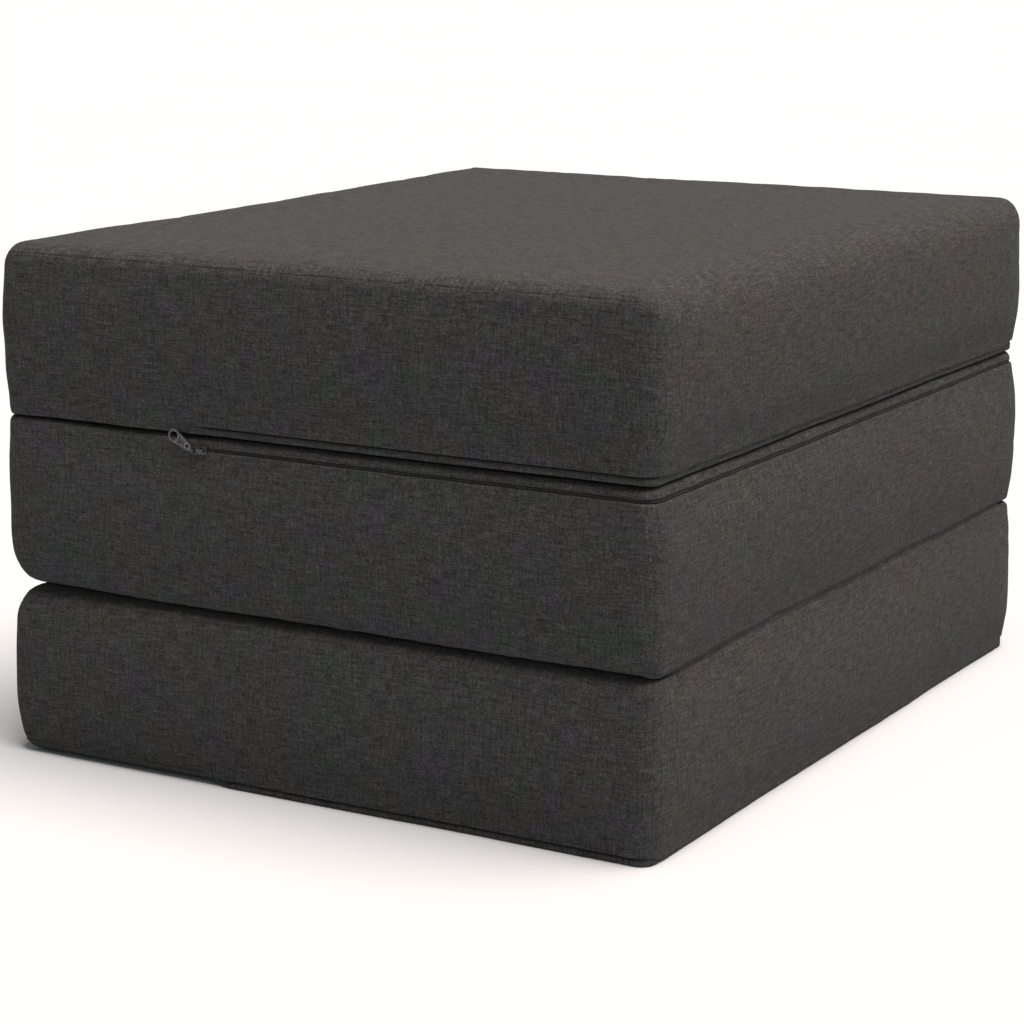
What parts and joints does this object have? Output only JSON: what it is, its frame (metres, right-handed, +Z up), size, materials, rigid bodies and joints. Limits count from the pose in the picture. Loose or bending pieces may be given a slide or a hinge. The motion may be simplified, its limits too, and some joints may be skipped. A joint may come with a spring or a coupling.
{
  "type": "fold out ottoman guest bed",
  "caption": "Three cloth-covered foam sections joined by cloth hinges, stacked in a zigzag as an ottoman and opening out flat into a guest bed.",
  "frame": {"origin": "middle of the underside of the folded ottoman", "axes": "+Z up, X along the bed when it is opened out, Y across the bed; the front, where the middle section's zip slider shows, faces -Y"},
  "size_m": [0.646, 0.7912, 0.4566],
  "materials": {
    "cover_cloth": "matte",
    "foam": "matte",
    "zip_tape": "matte",
    "zip_coil": "satin",
    "zip_metal": "satin"
  },
  "bodies": {
    "base_section": {"base_foam_core": "foam", "base_cover_wrap": "cover_cloth", "base_cover_slider_side": "cover_cloth", "base_cover_plain_side": "cover_cloth", "base_cover_zip_panel": "cover_cloth", "base_zip_tape_on_band": "zip_tape", "base_zip_tape_on_panel": "zip_tape", "base_zip_coils": "zip_coil", "base_zip_stops": "zip_metal", "base_hinge_flap": "cover_cloth"},
    "base_slider": {"base_zip_slider": "zip_metal"},
    "base_pull": {"base_zip_bail": "zip_metal", "base_zip_pull": "zip_metal"},
    "middle_section": {"middle_foam_core": "foam", "middle_cover_wrap": "cover_cloth", "middle_cover_slider_side": "cover_cloth", "middle_cover_plain_side": "cover_cloth", "middle_cover_zip_panel": "cover_cloth", "middle_zip_tape_on_band": "zip_tape", "middle_zip_tape_on_panel": "zip_tape", "middle_zip_coils": "zip_coil", "middle_zip_stops": "zip_metal", "middle_lower_hinge_flap": "cover_cloth", "middle_upper_hinge_flap": "cover_cloth"},
    "middle_slider": {"middle_zip_slider": "zip_metal"},
    "middle_pull": {"middle_zip_bail": "zip_metal", "middle_zip_pull": "zip_metal"},
    "top_section": {"top_foam_core": "foam", "top_cover_wrap": "cover_cloth", "top_cover_slider_side": "cover_cloth", "top_cover_plain_side": "cover_cloth", "top_cover_zip_panel": "cover_cloth", "top_zip_tape_on_band": "zip_tape", "top_zip_tape_on_panel": "zip_tape", "top_zip_coils": "zip_coil", "top_zip_stops": "zip_metal", "top_hinge_flap": "cover_cloth"},
    "top_slider": {"top_zip_slider": "zip_metal"},
    "top_pull": {"top_zip_bail": "zip_metal", "top_zip_pull": "zip_metal"}
  },
  "joints": [
    {"name": "lower_fold", "type": "hinge", "parent": "base_section", "child": "middle_section", "pos_m": [0.323, 0, 0.151], "axis": [0, 1, 0], "range_deg": [0, 180]},
    {"name": "upper_fold", "type": "hinge", "parent": "middle_section", "child": "top_section", "pos_m": [-0.323, 0, 0.302], "axis": [0, -1, 0], "range_deg": [0, 180]},
    {"name": "base_slider_travel", "type": "slide", "parent": "base_section", "child": "base_slider", "axis": [1, 0, 0], "range_m": [0, 0.396]},
    {"name": "base_pull_swing", "type": "hinge", "parent": "base_slider", "child": "base_pull", "pos_m": [-0.1053, 0.39364, 0.01], "axis": [0, 0, -1], "range_deg": [0, 180]},
    {"name": "middle_slider_travel", "type": "slide", "parent": "middle_section", "child": "middle_slider", "axis": [1, 0, 0], "range_m": [0, 0.396]},
    {"name": "middle_pull_swing", "type": "hinge", "parent": "middle_slider", "child": "middle_pull", "pos_m": [-0.1053, -0.39364, 0.292], "axis": [0, 0, 1], "range_deg": [0, 180]},
    {"name": "top_slider_travel", "type": "slide", "parent": "top_section", "child": "top_slider", "axis": [1, 0, 0], "range_m": [0, 0.396]},
    {"name": "top_pull_swing", "type": "hinge", "parent": "top_slider", "child": "top_pull", "pos_m": [-0.1053, 0.39364, 0.312], "axis": [0, 0, -1], "range_deg": [0, 180]}
  ]
}
